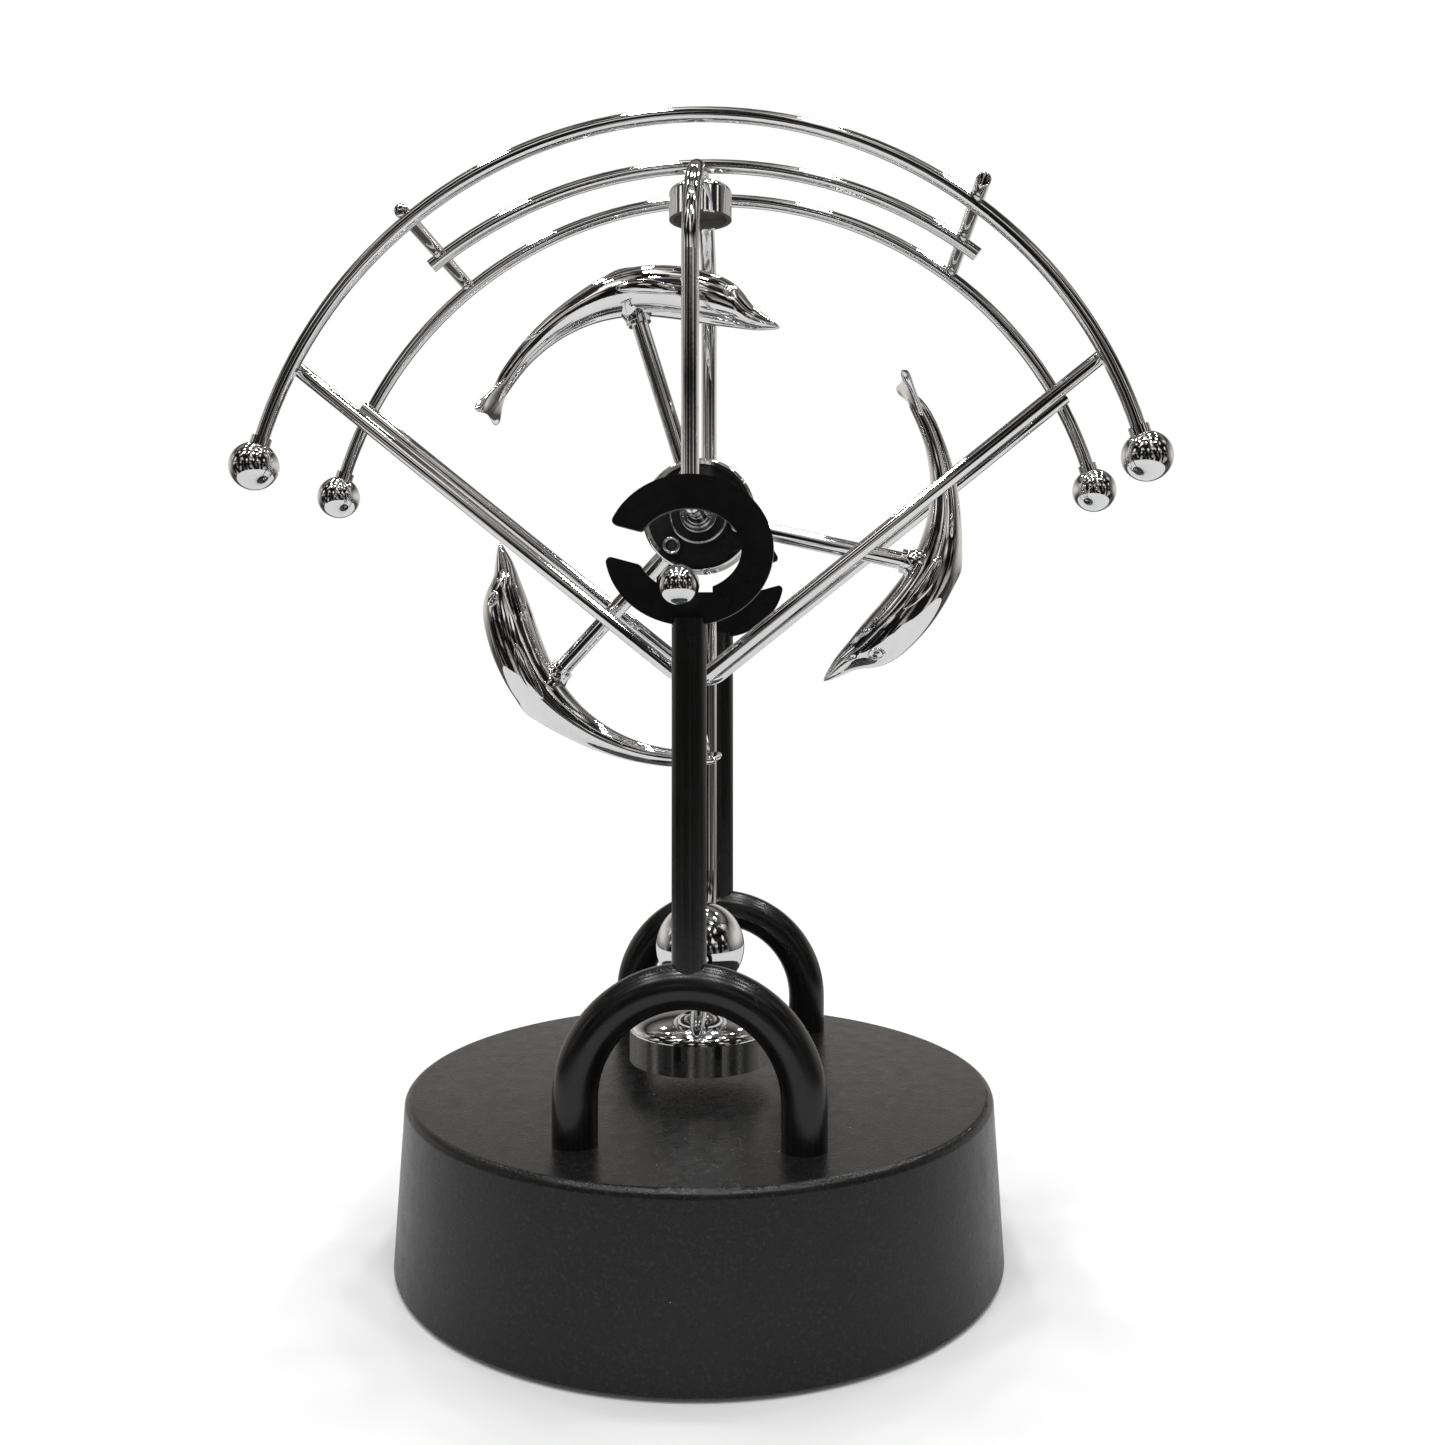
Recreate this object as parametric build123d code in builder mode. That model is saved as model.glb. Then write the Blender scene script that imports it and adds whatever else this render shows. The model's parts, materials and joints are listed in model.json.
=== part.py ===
from build123d import *
import os
from math import asin, cos, degrees, radians, sin, sqrt, tan

# A magnetically driven desk toy. A round base holds a battery, a drive coil and a
# circuit board. Two bent-rod stands carry a chrome swing on open cradle rings, and the
# swing carries a rotor of three dolphins.
# Frame: +Z up, X across the swing's arcs, Y along the pivot. The origin is on the
# standing plane, under the middle of the base. Lengths are in millimetres.

os.makedirs("parts", exist_ok=True)

# ---------------------------------------------------------------- driving dimensions
# Base
base_top_radius = 53.2
base_bottom_radius = 55.0
base_height = 28.8
base_wall = 2.4
base_roof = 2.5
base_rim_fillet = 1.4
foot_proud = 0.8
foot_recess = 0.6
foot_radius = 5.0
foot_circle = 45.0
cover_thickness = 2.2
cover_gap = 0.2
screw_circle = 44.8
boss_radius = 3.4
screw_radius = 1.3
screw_head_radius = 2.5
screw_head_height = 1.3
screw_length = 9.0
screw_head_inset = 0.1
screw_cross = (2.6, 0.6)
screw_cross_depth = 0.7
foot_edge_share = 0.4

# Battery, its door and its snap
battery_length = 48.5
battery_width = 26.5
battery_height = 17.5
battery_offset_x = -2.5
battery_terminal_length = 2.4
battery_terminal_radius = 3.0
battery_terminal_pitch = 12.7
battery_to_coil = 1.8
battery_corner = 2.0
snap_thickness = 4.0
snap_margin = 2.0
door_thickness = 2.0
door_gap = 0.3
door_bay_margin = 1.2
door_knuckle_radius = 1.0
door_pin_radius = 0.7
door_pin_length = 1.6
door_hinge_lift = 0.05
thumb_recess = (14.0, 5.0, 0.8)
thumb_recess_inset = 4.5

# Drive coil and circuit board
coil_radius = 11.0
coil_height = 12.0
coil_flange = 1.0
coil_hub_radius = 4.5
coil_core_radius = 2.6
coil_core_proud = 1.0
winding_recess = 0.8
board_length = 44.0
board_width = 24.0
board_thickness = 1.6
board_drop = 8.6
board_to_coil = 2.6
board_boss_radius = 2.5
board_boss_share = 0.4
board_corner = 1.5
board_screw_radius = 0.9
board_screw_head = 1.2
board_screw_reach = 0.6
transistor_size = (5.0, 4.0, 5.0)
transistor_share = 0.3
capacitor_radius = 3.0
capacitor_length = 9.0
capacitor_place = (9.0, 2.0)
resistor_size = (7.0, 2.4)
resistor_places = ((-9.0, -2.0), (-9.0, 4.0))
wire_radius = 0.6
wire_bend = 3.0
battery_wire_routes = ((2.0, 5.0), (-2.0, 7.6))
coil_wire_x = 2.0

# Stands
stand_y = 35.0
stand_x = 1.2
arch_rod_radius = 3.7
arch_half_span = 18.3
arch_crown_height = 29.0
arch_screw_radius = 1.5
arch_screw_depth = 8.0
arch_screw_head_radius = 2.7
arch_screw_head_height = 2.0
arch_screw_cross = (3.0, 0.7)
arch_screw_cross_depth = 1.0
washer_radius = 3.6
washer_thickness = 0.6
post_radius = 2.8
post_slot_depth = 1.2
ring_height = 94.7
ring_half_width = 13.5
ring_half_height = 12.1
ring_bore_half_width = 8.4
ring_bore_half_height = 6.6
ring_thickness = 1.8
ring_mouth = 5.1
ring_mouth_tilt = 15.0
ring_mouth_rise = -1.8
ring_jaw_fillet = 0.8
ring_notch_half_width = 3.8
ring_notch_drop = 6.8
ring_seat_sink = 0.3

# Swing
rod_radius = 1.55
arc_rod_radius = 1.27
brace_rod_radius = 1.25
leg_y = 20.6
pin_radius = 1.2
pin_shoulder_gap = 1.2
pin_ball_radius = 3.25
pin_ball_gap = 0.5
arc_radius = 79.0
arc_centre_rise = 3.0
arc_half_angle = 74.95
middle_arc_drop = 1.0
middle_arc_overhang = 2.8
fork_drop = 1.7
arc_ball_radius = 4.25
arc_ball_turn = 0.8
arc_collar_radius = 1.75
arc_collar_length = 1.4
left_bar_angle = 38.4
right_bar_angle = 37.2
cross_bar_rear_stub = 1.2
left_bar_front_stub = -1.0
right_bar_front_stub = 3.8
bar_bore_radius = 0.95
bar_bore_depth = 3.0
weld_sink = 0.35
cup_seat = 0.25
brace_top_angle = 62.1
brace_stub = 0.9
brace_vertex_drop = 16.1
brace_bend_radius = 4.0
brace_arc_sink = 0.1
pendulum_bottom_height = 15.0
leg_bend_radius = 3.4
big_ball_radius = 8.2
disc_radius = 13.05
disc_side = 5.5
disc_gap = 3.9
cap_radius = 5.85
cap_side = 4.8
cap_dome = 2.3
shell_wall = 0.9
cap_magnet_inset = 1.6
disc_magnet_inset = 0.6

# Rotor
hub_height = 104.1
hub_radius = 10.5
hub_wall = 1.1
hub_edge_fillet = 0.5
hub_half_width = 4.0
hub_face_recess = 1.3
hub_web = 1.0
hub_boss_radius = 5.3
hub_boss_proud = 1.4
bush_radius = 3.3
bush_proud = 0.6
axle_fit = 0.05
axle_end_gap = 2.0
axle_collar_radius = 2.9
axle_collar_length = 1.8
axle_collar_gap = 0.35
hub_tube_radius = 1.65
hub_tube_bore = 1.05
hub_tube_circle = 7.5
hub_tube_proud = 0.5
spoke_radius = 1.6
spoke_angles = (107.4, -12.6, 227.4)
spoke_joint_radius = 41.4
spoke_collar_radius = 2.2
spoke_collar_length = 3.4
rotor_magnet_length = 3.0

# ---------------------------------------------------------------- heights that follow
base_bottom = foot_proud
base_top = foot_proud + base_height
roof_under = base_top - base_roof
cover_top = base_bottom + cover_thickness
ring_z = base_top + ring_height
pivot_z = ring_z - ring_notch_drop + pin_radius - ring_seat_sink
arc_centre_z = pivot_z + arc_centre_rise
arc_top_z = arc_centre_z + arc_radius
hub_z = base_top + hub_height
middle_top_z = arc_top_z - middle_arc_drop
fork_top_z = middle_top_z - fork_drop
pendulum_bottom_z = base_top + pendulum_bottom_height
crown_z = base_top + arch_crown_height - arch_rod_radius
base_taper = (base_bottom_radius - base_top_radius) / base_height


def finish_part(part, name):
    """Names a finished piece and writes it to its own file."""
    part.label = name
    export_step(part, f"parts/{name}.step")


def on_arc(angle, radius=arc_radius):
    """The point of the swing's arcs at an angle from straight up, as (x, z)."""
    return radius * sin(radians(angle)), arc_centre_z + radius * cos(radians(angle))


def vertical(x, y, z):
    """A horizontal sketch plane at a point, for a rod or hole that runs up Z."""
    return Plane(origin=(x, y, z), x_dir=(1, 0, 0), z_dir=(0, 0, 1))


def along_y(x, y, z):
    """A sketch plane that faces +Y, with its own X along the object's X."""
    return Plane(origin=(x, y, z), x_dir=(1, 0, 0), z_dir=(0, 1, 0))


# ---------------------------------------------------------------- base housing
boss_places = [(screw_circle * cos(radians(a)), screw_circle * sin(radians(a))) for a in (0, 90, 180, 270)]
foot_places = [(foot_circle * cos(radians(a)), foot_circle * sin(radians(a))) for a in (30, 150, 210, 330)]
arch_feet = [(stand_x + x, y) for x in (-arch_half_span, arch_half_span) for y in (-stand_y, stand_y)]
board_centre_y = coil_radius + board_to_coil + board_width / 2
board_bosses = [(side * board_length * board_boss_share, board_centre_y) for side in (-1, 1)]
board_top = roof_under - board_drop

with BuildPart() as base_housing:
    with BuildSketch(Plane.XZ):
        with BuildLine():
            Polyline(
                (0, base_top),
                (base_top_radius, base_top),
                (base_bottom_radius, base_bottom),
                (base_bottom_radius - base_wall, base_bottom),
                (base_top_radius - base_wall + base_roof * base_taper, roof_under),
                (0, roof_under),
                close=True,
            )
        make_face()
    revolve(axis=Axis.Z)
    outer_rim = base_housing.edges().filter_by(GeomType.CIRCLE).group_by(Axis.Z)[-1]
    fillet(outer_rim, radius=base_rim_fillet)
    with BuildSketch(Plane.XY.offset(cover_top)):
        with Locations(*boss_places):
            Circle(boss_radius)
    extrude(amount=roof_under - cover_top)
    with BuildSketch(Plane.XY.offset(cover_top)):
        with Locations(*boss_places):
            Circle(screw_radius)
    extrude(amount=screw_length, mode=Mode.SUBTRACT)
    with BuildSketch(Plane.XY.offset(board_top)):
        with Locations(*board_bosses):
            Circle(board_boss_radius)
            Circle(board_screw_radius, mode=Mode.SUBTRACT)
    extrude(amount=board_drop)
    with BuildSketch(Plane.XY.offset(roof_under)):
        with Locations(*arch_feet):
            Circle(arch_screw_radius)
    extrude(amount=base_roof, mode=Mode.SUBTRACT)
finish_part(base_housing.part, "base_housing")

# ---------------------------------------------------------------- battery bay and cover
battery_y = -(coil_radius + battery_to_coil + battery_width / 2)
battery_bottom = base_bottom + door_thickness + door_bay_margin / 2
snap_end_x = battery_offset_x + battery_length / 2 + snap_thickness
bay_x_max = snap_end_x + door_bay_margin
bay_x_min = battery_offset_x - battery_length / 2 - door_bay_margin
bay_y_min = battery_y - battery_width / 2 - door_bay_margin
hinge_y = battery_y + battery_width / 2 - door_knuckle_radius
bay_y_max = hinge_y + door_knuckle_radius + door_gap
hinge_z = base_bottom + door_knuckle_radius + door_hinge_lift
bay_centre_x = (bay_x_max + bay_x_min) / 2
bay_length = bay_x_max - bay_x_min
cover_radius = base_bottom_radius - base_wall - base_taper * cover_thickness - cover_gap

with BuildPart() as base_cover:
    with BuildSketch(Plane.XY.offset(base_bottom)):
        Circle(cover_radius)
        with Locations((bay_centre_x, (bay_y_max + bay_y_min) / 2)):
            Rectangle(bay_length, bay_y_max - bay_y_min, mode=Mode.SUBTRACT)
        with Locations(*boss_places):
            Circle(screw_radius, mode=Mode.SUBTRACT)
    extrude(amount=cover_thickness)
    with BuildSketch(Plane.XY.offset(base_bottom)):
        with Locations(*boss_places):
            Circle(screw_head_radius + cover_gap)
    extrude(amount=screw_head_height, mode=Mode.SUBTRACT)
    with BuildSketch(Plane.XY.offset(base_bottom)):
        with Locations(*foot_places):
            Circle(foot_radius)
    extrude(amount=foot_recess, mode=Mode.SUBTRACT)
    with BuildSketch(Plane.YZ.offset(bay_centre_x)):
        with Locations((hinge_y, hinge_z)):
            Circle(door_pin_radius + axle_fit)
    extrude(amount=bay_length / 2 + door_pin_length, both=True, mode=Mode.SUBTRACT)
finish_part(base_cover.part, "base_cover")

door_length = bay_length - 2 * door_gap
with BuildPart() as battery_door:
    with BuildSketch(Plane.XY.offset(base_bottom)):
        door_y_min = bay_y_min + door_gap
        with Locations((bay_centre_x, (door_y_min + hinge_y) / 2)):
            Rectangle(door_length, hinge_y - door_y_min)
    extrude(amount=door_thickness)
    with BuildSketch(Plane.YZ.offset(bay_centre_x)):
        with Locations((hinge_y, hinge_z)):
            Circle(door_knuckle_radius)
    extrude(amount=door_length / 2, both=True)
    with BuildSketch(Plane.YZ.offset(bay_centre_x)):
        with Locations((hinge_y, hinge_z)):
            Circle(door_pin_radius)
    extrude(amount=bay_length / 2 + door_pin_length - door_gap, both=True)
    # A thumb recess beside the free edge.
    with BuildSketch(Plane.XY.offset(base_bottom)):
        with Locations((bay_centre_x, door_y_min + thumb_recess_inset)):
            SlotOverall(thumb_recess[0], thumb_recess[1])
    extrude(amount=thumb_recess[2], mode=Mode.SUBTRACT)
finish_part(battery_door.part, "battery_door")

with BuildPart() as cover_screws:
    with BuildSketch(Plane.XY.offset(base_bottom + screw_head_inset)):
        with Locations(*boss_places):
            Circle(screw_head_radius)
    extrude(amount=screw_head_height - screw_head_inset)
    with BuildSketch(Plane.XY.offset(base_bottom + screw_head_height)):
        with Locations(*boss_places):
            Circle(screw_radius)
    extrude(amount=screw_length)
    with BuildSketch(Plane.XY.offset(base_bottom + screw_head_inset)):
        with Locations(*boss_places):
            Rectangle(*screw_cross)
            Rectangle(*reversed(screw_cross))
    extrude(amount=screw_cross_depth, mode=Mode.SUBTRACT)
finish_part(cover_screws.part, "cover_screws")

with BuildPart() as rubber_feet:
    with BuildSketch(Plane.XY):
        with Locations(*foot_places):
            Circle(foot_radius)
    extrude(amount=foot_proud + foot_recess)
    foot_rims = rubber_feet.edges().filter_by(GeomType.CIRCLE).group_by(Axis.Z)[0]
    fillet(foot_rims, radius=foot_proud * foot_edge_share)
finish_part(rubber_feet.part, "rubber_feet")

# ---------------------------------------------------------------- drive coil
coil_bottom = roof_under - coil_height
with BuildPart() as coil_bobbin:
    with BuildSketch(Plane.XY.offset(coil_bottom)):
        Circle(coil_hub_radius)
    extrude(amount=coil_height)
    for flange_z in (coil_bottom, roof_under - coil_flange):
        with BuildSketch(Plane.XY.offset(flange_z)):
            Circle(coil_radius)
        extrude(amount=coil_flange)
    with BuildSketch(Plane.XY.offset(coil_bottom)):
        Circle(coil_core_radius)
    extrude(amount=coil_height, mode=Mode.SUBTRACT)
finish_part(coil_bobbin.part, "coil_bobbin")

winding_radius = coil_radius - winding_recess
with BuildPart() as coil_winding:
    with BuildSketch(Plane.XY.offset(coil_bottom + coil_flange)):
        Circle(winding_radius)
        Circle(coil_hub_radius, mode=Mode.SUBTRACT)
    extrude(amount=coil_height - 2 * coil_flange)
finish_part(coil_winding.part, "coil_winding")

with BuildPart() as coil_core:
    with BuildSketch(Plane.XY.offset(coil_bottom - coil_core_proud)):
        Circle(coil_core_radius)
    extrude(amount=coil_height + coil_core_proud)
finish_part(coil_core.part, "coil_core")

# ---------------------------------------------------------------- circuit board
board_bottom = board_top - board_thickness
with BuildPart() as circuit_board:
    with BuildSketch(Plane.XY.offset(board_bottom)):
        with Locations((0, board_centre_y)):
            RectangleRounded(board_length, board_width, board_corner)
        with Locations(*board_bosses):
            Circle(board_screw_radius, mode=Mode.SUBTRACT)
    extrude(amount=board_thickness)
finish_part(circuit_board.part, "circuit_board")

with BuildPart() as board_screws:
    with BuildSketch(Plane.XY.offset(board_bottom - board_screw_head)):
        with Locations(*board_bosses):
            Circle(board_screw_radius * 2)
    extrude(amount=board_screw_head)
    with BuildSketch(Plane.XY.offset(board_bottom)):
        with Locations(*board_bosses):
            Circle(board_screw_radius)
    extrude(amount=board_thickness + board_drop * board_screw_reach)
finish_part(board_screws.part, "board_screws")

# The parts soldered under the board: a sensing transistor, a capacitor, two resistors.
with BuildPart() as board_components:
    with BuildSketch(Plane.XY.offset(board_bottom)):
        with Locations((0, board_centre_y - board_width * transistor_share)):
            Rectangle(transistor_size[0], transistor_size[1])
    extrude(amount=-transistor_size[2])
    with BuildSketch(Plane.XY.offset(board_bottom)):
        with Locations((capacitor_place[0], board_centre_y + capacitor_place[1])):
            Circle(capacitor_radius)
    extrude(amount=-capacitor_length)
    with BuildSketch(Plane.XY.offset(board_bottom)):
        with Locations(*[(x, board_centre_y + y) for x, y in resistor_places]):
            Rectangle(*resistor_size)
    extrude(amount=-resistor_size[1])
finish_part(board_components.part, "board_components")

# ---------------------------------------------------------------- battery and wires
with BuildPart() as battery:
    with BuildSketch(Plane.XY.offset(battery_bottom)):
        with Locations((battery_offset_x, battery_y)):
            RectangleRounded(battery_length, battery_width, battery_corner)
    extrude(amount=battery_height)
    battery_end = battery_offset_x + battery_length / 2
    terminal_places = [(battery_y + side * battery_terminal_pitch / 2, battery_bottom + battery_height / 2)
                       for side in (-1, 1)]
    with BuildSketch(Plane.YZ.offset(battery_end)):
        with Locations(*terminal_places):
            Circle(battery_terminal_radius)
    extrude(amount=battery_terminal_length)
finish_part(battery.part, "battery")

snap_height = battery_height - 2 * snap_margin
with BuildPart() as battery_snap:
    with BuildSketch(Plane.YZ.offset(battery_end)):
        with Locations((battery_y, battery_bottom + battery_height / 2)):
            RectangleRounded(battery_width - 2 * snap_margin, snap_height, battery_corner)
        with Locations(*terminal_places):
            Circle(battery_terminal_radius, mode=Mode.SUBTRACT)
    extrude(amount=battery_terminal_length)
    with BuildSketch(Plane.YZ.offset(battery_end + battery_terminal_length)):
        with Locations((battery_y, battery_bottom + battery_height / 2)):
            RectangleRounded(battery_width - 2 * snap_margin, snap_height, battery_corner)
    extrude(amount=snap_thickness - battery_terminal_length)
finish_part(battery_snap.part, "battery_snap")

# Two wires run from the snap, round the end of the bay, to the edge of the board.
wire_z = board_bottom + board_thickness / 2
with BuildPart() as battery_leads:
    for offset_y, reach in battery_wire_routes:
        with BuildLine() as wire_line:
            FilletPolyline(
                (snap_end_x, battery_y + offset_y, wire_z),
                (snap_end_x + reach, battery_y + offset_y, wire_z),
                (snap_end_x + reach, board_centre_y - offset_y, wire_z),
                (board_length / 2, board_centre_y - offset_y, wire_z),
                radius=wire_bend,
            )
        with BuildSketch(Plane(origin=wire_line.line @ 0, z_dir=wire_line.line % 0)):
            Circle(wire_radius)
        sweep(path=wire_line.line)
finish_part(battery_leads.part, "battery_leads")

with BuildPart() as coil_leads:
    with BuildSketch(Plane.XZ.offset(-(coil_radius + board_to_coil))):
        with Locations((-coil_wire_x, wire_z), (coil_wire_x, wire_z)):
            Circle(wire_radius)
    extrude(amount=board_to_coil + coil_radius - coil_hub_radius)
    with BuildSketch(Plane.XY.offset(coil_bottom + coil_flange)):
        Circle(winding_radius)
    extrude(amount=coil_height - 2 * coil_flange, mode=Mode.SUBTRACT)
finish_part(coil_leads.part, "coil_leads")

# ---------------------------------------------------------------- stands
with BuildPart() as arch_screws:
    with BuildSketch(Plane.XY.offset(roof_under - washer_thickness)):
        with Locations(*arch_feet):
            Circle(arch_screw_radius)
    extrude(amount=washer_thickness + base_roof + arch_screw_depth)
    with BuildSketch(Plane.XY.offset(roof_under - washer_thickness)):
        with Locations(*arch_feet):
            Circle(arch_screw_head_radius)
    extrude(amount=-arch_screw_head_height)
    with BuildSketch(Plane.XY.offset(roof_under - washer_thickness - arch_screw_head_height)):
        with Locations(*arch_feet):
            Rectangle(*arch_screw_cross)
            Rectangle(*reversed(arch_screw_cross))
    extrude(amount=arch_screw_cross_depth, mode=Mode.SUBTRACT)
finish_part(arch_screws.part, "arch_screws")

with BuildPart() as arch_washers:
    with BuildSketch(Plane.XY.offset(roof_under - washer_thickness)):
        with Locations(*arch_feet):
            Circle(washer_radius)
            Circle(arch_screw_radius, mode=Mode.SUBTRACT)
    extrude(amount=washer_thickness)
finish_part(arch_washers.part, "arch_washers")


def build_stand(front):
    """One stand: a bent-rod arch, its post and its open cradle ring. The pins rest left of
    the middle of the rings. The rear ring's mouth opens the other way."""
    side = -1 if front else 1
    prefix = "front" if front else "rear"
    y = side * stand_y
    left_x, right_x = stand_x - arch_half_span, stand_x + arch_half_span

    with BuildPart() as arch:
        with BuildLine() as arch_line:
            left_leg = Line((left_x, y, base_top), (left_x, y, crown_z - arch_half_span))
            bend = ThreePointArc(left_leg @ 1, (stand_x, y, crown_z), (right_x, y, crown_z - arch_half_span))
            Line(bend @ 1, (right_x, y, base_top))
        with BuildSketch(vertical(left_x, y, base_top)):
            Circle(arch_rod_radius)
        sweep(path=arch_line.line)
        with BuildSketch(Plane.XY.offset(base_top)):
            with Locations((left_x, y), (right_x, y)):
                Circle(arch_screw_radius)
        extrude(amount=arch_screw_depth, mode=Mode.SUBTRACT)
    finish_part(arch.part, f"{prefix}_arch")

    with BuildPart() as ring:
        # These sketch planes face +Y, so their own Y runs down.
        with BuildSketch(along_y(stand_x, y - ring_thickness / 2, ring_z)):
            Ellipse(ring_half_width, ring_half_height)
            Ellipse(ring_bore_half_width, ring_bore_half_height, mode=Mode.SUBTRACT)
            mouth_x = side * ring_half_width
            mouth_y = -ring_mouth_rise - ring_half_width * tan(radians(ring_mouth_tilt))
            with Locations(Location((mouth_x, mouth_y), -side * ring_mouth_tilt)):
                Rectangle(ring_half_width, ring_mouth, mode=Mode.SUBTRACT)
        extrude(amount=ring_thickness)
        jaw_edges = ring.edges().filter_by(Axis.Y).filter_by(lambda e: side * (e.center().X - stand_x) > 0)
        fillet(jaw_edges, radius=ring_jaw_fillet)
        with BuildSketch(along_y(stand_x, y - ring_thickness / 2, ring_z)):
            with Locations((0, ring_notch_drop / 2)):
                Rectangle(2 * ring_notch_half_width, ring_notch_drop)
            with Locations((-stand_x, ring_z - pivot_z)):
                Circle(pin_radius + axle_fit)
        extrude(amount=ring_thickness, mode=Mode.SUBTRACT)
    finish_part(ring.part, f"{prefix}_cradle_ring")

    post_top = ring_z - ring_half_height + post_slot_depth
    with BuildPart() as post:
        with BuildSketch(vertical(stand_x, y, crown_z)):
            Circle(post_radius)
        extrude(amount=post_top - crown_z)
        add(arch.part, mode=Mode.SUBTRACT)
        add(ring.part, mode=Mode.SUBTRACT)
        # The saddle leaves a scrap under the arch rod, which is cut away.
        with BuildSketch(vertical(stand_x, y, crown_z)):
            Circle(post_radius)
        extrude(amount=-arch_rod_radius, mode=Mode.SUBTRACT)
    finish_part(post.part, f"{prefix}_post")


build_stand(front=True)
build_stand(front=False)

# ---------------------------------------------------------------- swing arcs
def build_arc(name, y, radius, top_z, half_angle):
    """A round rod bent to a radius, with its top at a height."""
    end_x = radius * sin(radians(half_angle))
    end_z = top_z - radius * (1 - cos(radians(half_angle)))
    with BuildPart() as arc:
        with BuildLine() as arc_line:
            ThreePointArc((-end_x, y, end_z), (0, y, top_z), (end_x, y, end_z))
        with BuildSketch(Plane(origin=arc_line.line @ 0, z_dir=arc_line.line % 0)):
            Circle(arc_rod_radius)
        sweep(path=arc_line.line)
    finish_part(arc.part, name)
    return arc.part


front_arc = build_arc("front_arc", -leg_y, arc_radius, arc_top_z, arc_half_angle)
rear_arc = build_arc("rear_arc", leg_y, arc_radius, arc_top_z, arc_half_angle)

# The middle arc is flatter. It meets the cross bars where the long arcs do, and its top
# is lower. Its radius follows from that chord and its rise.
bar_x, bar_z = on_arc((left_bar_angle + right_bar_angle) / 2)
middle_rise = middle_top_z - bar_z
middle_radius = (bar_x**2 + middle_rise**2) / (2 * middle_rise)
middle_half_angle = degrees(asin((bar_x + middle_arc_overhang) / middle_radius))
middle_arc = build_arc("middle_arc", 0, middle_radius, middle_top_z, middle_half_angle)

# Balls pressed on the ends of the two long arcs, each behind a small weld collar.
ball_angle = arc_half_angle + arc_ball_turn
ball_places = [(*on_arc(side * ball_angle), y) for side in (-1, 1) for y in (-leg_y, leg_y)]
with BuildPart() as arc_balls:
    for x, z, y in ball_places:
        with Locations((x, y, z)):
            Sphere(arc_ball_radius)
    add(front_arc, mode=Mode.SUBTRACT)
    add(rear_arc, mode=Mode.SUBTRACT)
finish_part(arc_balls.part, "arc_balls")

collar_angle = ball_angle - degrees((arc_ball_radius + arc_collar_length / 2 - weld_sink) / arc_radius)
with BuildPart() as arc_collars:
    for side in (-1, 1):
        for y in (-leg_y, leg_y):
            x, z = on_arc(side * collar_angle)
            tangent = (cos(radians(side * collar_angle)), 0, -sin(radians(side * collar_angle)))
            with BuildSketch(Plane(origin=(x, y, z), z_dir=tangent)):
                Circle(arc_collar_radius)
            extrude(amount=arc_collar_length / 2, both=True)
    add(front_arc, mode=Mode.SUBTRACT)
    add(rear_arc, mode=Mode.SUBTRACT)
    add(arc_balls.part, mode=Mode.SUBTRACT)
finish_part(arc_collars.part, "arc_collars")


def build_cross_bar(name, angle, front_stub, hollow):
    """A rod welded across the outside of the arcs. Its front end may be drilled."""
    bar_y_min = -leg_y - arc_rod_radius - front_stub
    bar_y_max = leg_y + arc_rod_radius + cross_bar_rear_stub
    x, z = on_arc(angle, arc_radius + arc_rod_radius + brace_rod_radius - weld_sink)
    with BuildPart() as bar:
        with BuildSketch(along_y(x, bar_y_min, z)):
            Circle(brace_rod_radius)
        extrude(amount=bar_y_max - bar_y_min)
        if hollow:
            with BuildSketch(along_y(x, bar_y_min, z)):
                Circle(bar_bore_radius)
            extrude(amount=bar_bore_depth, mode=Mode.SUBTRACT)
        for arc in (front_arc, rear_arc, middle_arc):
            add(arc, mode=Mode.SUBTRACT)
    finish_part(bar.part, name)


build_cross_bar("left_cross_bar", -left_bar_angle, left_bar_front_stub, hollow=False)
build_cross_bar("right_cross_bar", right_bar_angle, right_bar_front_stub, hollow=True)

# ---------------------------------------------------------------- pendulum rod
# One rod: pivot pin, bend, leg, half-round bottom, leg, bend, pivot pin.
ring_outer_y = stand_y + ring_thickness / 2
pin_end_y = ring_outer_y + pin_ball_gap + pin_ball_radius
bottom_centre_z = pendulum_bottom_z + leg_y
with BuildPart() as pendulum_rod:
    with BuildLine() as leg_line:
        bend_in = leg_bend_radius * (1 - sqrt(0.5))
        front_bend = ThreePointArc(
            (0, -leg_y - leg_bend_radius, pivot_z),
            (0, -leg_y - bend_in, pivot_z - bend_in),
            (0, -leg_y, pivot_z - leg_bend_radius),
        )
        front_leg = Line(front_bend @ 1, (0, -leg_y, bottom_centre_z))
        bottom = ThreePointArc(front_leg @ 1, (0, 0, pendulum_bottom_z), (0, leg_y, bottom_centre_z))
        rear_leg = Line(bottom @ 1, (0, leg_y, pivot_z - leg_bend_radius))
        ThreePointArc(
            rear_leg @ 1,
            (0, leg_y + bend_in, pivot_z - bend_in),
            (0, leg_y + leg_bend_radius, pivot_z),
        )
    with BuildSketch(Plane(origin=leg_line.line @ 0, z_dir=leg_line.line % 0)):
        Circle(rod_radius)
    sweep(path=leg_line.line)
    # The ends run straight to just short of the rings, then turn down to the pin size.
    shoulder_y = stand_y - ring_thickness / 2 - pin_shoulder_gap
    for side in (-1, 1):
        with BuildSketch(along_y(0, side * (leg_y + leg_bend_radius), pivot_z)):
            Circle(rod_radius)
        extrude(amount=side * (shoulder_y - leg_y - leg_bend_radius))
        with BuildSketch(along_y(0, side * shoulder_y, pivot_z)):
            Circle(pin_radius)
        extrude(amount=side * (pin_end_y - shoulder_y))
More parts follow.
